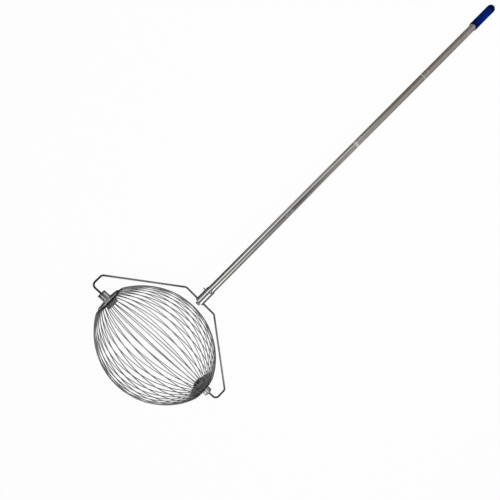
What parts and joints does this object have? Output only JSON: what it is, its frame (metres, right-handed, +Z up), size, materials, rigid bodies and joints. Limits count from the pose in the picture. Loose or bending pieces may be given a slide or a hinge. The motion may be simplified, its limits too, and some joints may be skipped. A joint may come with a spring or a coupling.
{
  "type": "nut gatherer",
  "caption": "Rolling wire cage on a bent rod yoke with a long jointed tube handle, pushed over the ground to pick up fallen nuts and fruit.",
  "frame": {"origin": "centre of the bounding box's footprint, on the floor that the cage and the grip's end rest on", "axes": "+Z up, +Y from the cage towards the grip, X along the cage's axle"},
  "size_m": [0.405, 1.372, 0.2434],
  "materials": {
    "cage_wire_steel": "drawn spring wire, satin",
    "holder_black": "matte black moulding",
    "plate_steel": "satin grey plate",
    "nut_charcoal": "matte charcoal",
    "sleeve_steel": "turned bright steel",
    "bearing_nylon": "dark nylon",
    "rod_steel": "bright drawn rod",
    "ferrule_steel": "polished steel socket",
    "fitting_steel": "plain steel",
    "tube_steel": "polished stainless tube",
    "coupler_steel": "turned collar",
    "insert_brass": "turned brass",
    "grip_blue": "dipped blue vinyl"
  },
  "bodies": {
    "handle": {"yoke_rod": "rod_steel", "ferrule": "ferrule_steel", "end_plug": "fitting_steel", "side_screw": "fitting_steel", "button_spring": "fitting_steel", "tube_1": "tube_steel", "tube_2": "tube_steel", "tube_3": "tube_steel", "tube_4": "tube_steel", "coupler_1": "coupler_steel", "coupler_2": "coupler_steel", "coupler_3": "coupler_steel", "threaded_insert_1": "insert_brass", "threaded_insert_2": "insert_brass", "threaded_insert_3": "insert_brass", "grip": "grip_blue"},
    "cage": {"cage_wires_01": "cage_wire_steel", "cage_wires_02": "cage_wire_steel", "cage_wires_03": "cage_wire_steel", "cage_wires_04": "cage_wire_steel", "cage_wires_05": "cage_wire_steel", "cage_wires_06": "cage_wire_steel", "cage_wires_07": "cage_wire_steel", "cage_wires_08": "cage_wire_steel", "cage_wires_09": "cage_wire_steel", "cage_wires_10": "cage_wire_steel", "cage_wires_11": "cage_wire_steel", "cage_wires_12": "cage_wire_steel", "cage_wires_13": "cage_wire_steel", "cage_wires_14": "cage_wire_steel", "cage_wires_15": "cage_wire_steel", "cage_wires_16": "cage_wire_steel", "cage_wires_17": "cage_wire_steel", "cage_wires_18": "cage_wire_steel", "cage_wires_19": "cage_wire_steel", "cage_wires_20": "cage_wire_steel", "cage_wires_21": "cage_wire_steel", "cage_wires_22": "cage_wire_steel", "cage_wires_23": "cage_wire_steel", "cage_wires_24": "cage_wire_steel", "wire_holder_left": "holder_black", "wire_holder_right": "holder_black", "outer_plate_left": "plate_steel", "outer_plate_right": "plate_steel", "hub_nut_left": "nut_charcoal", "hub_nut_right": "nut_charcoal", "axle_sleeve_left": "sleeve_steel", "axle_sleeve_right": "sleeve_steel", "axle_bearing_left": "bearing_nylon", "axle_bearing_right": "bearing_nylon"},
    "button": {"snap_button": "fitting_steel"}
  },
  "joints": [
    {"name": "cage_spin", "type": "hinge", "parent": "handle", "child": "cage", "pos_m": [0, -0.56436, 0.12169], "axis": [1, 0, 0], "continuous": true},
    {"name": "button_press", "type": "slide", "parent": "handle", "child": "button", "axis": [0, 0.0882, 0.9961], "range_m": [-0.004, 0], "stiffness_N_per_m": 1500, "springref_m": 0.002, "deforming": ["button_spring"]}
  ]
}
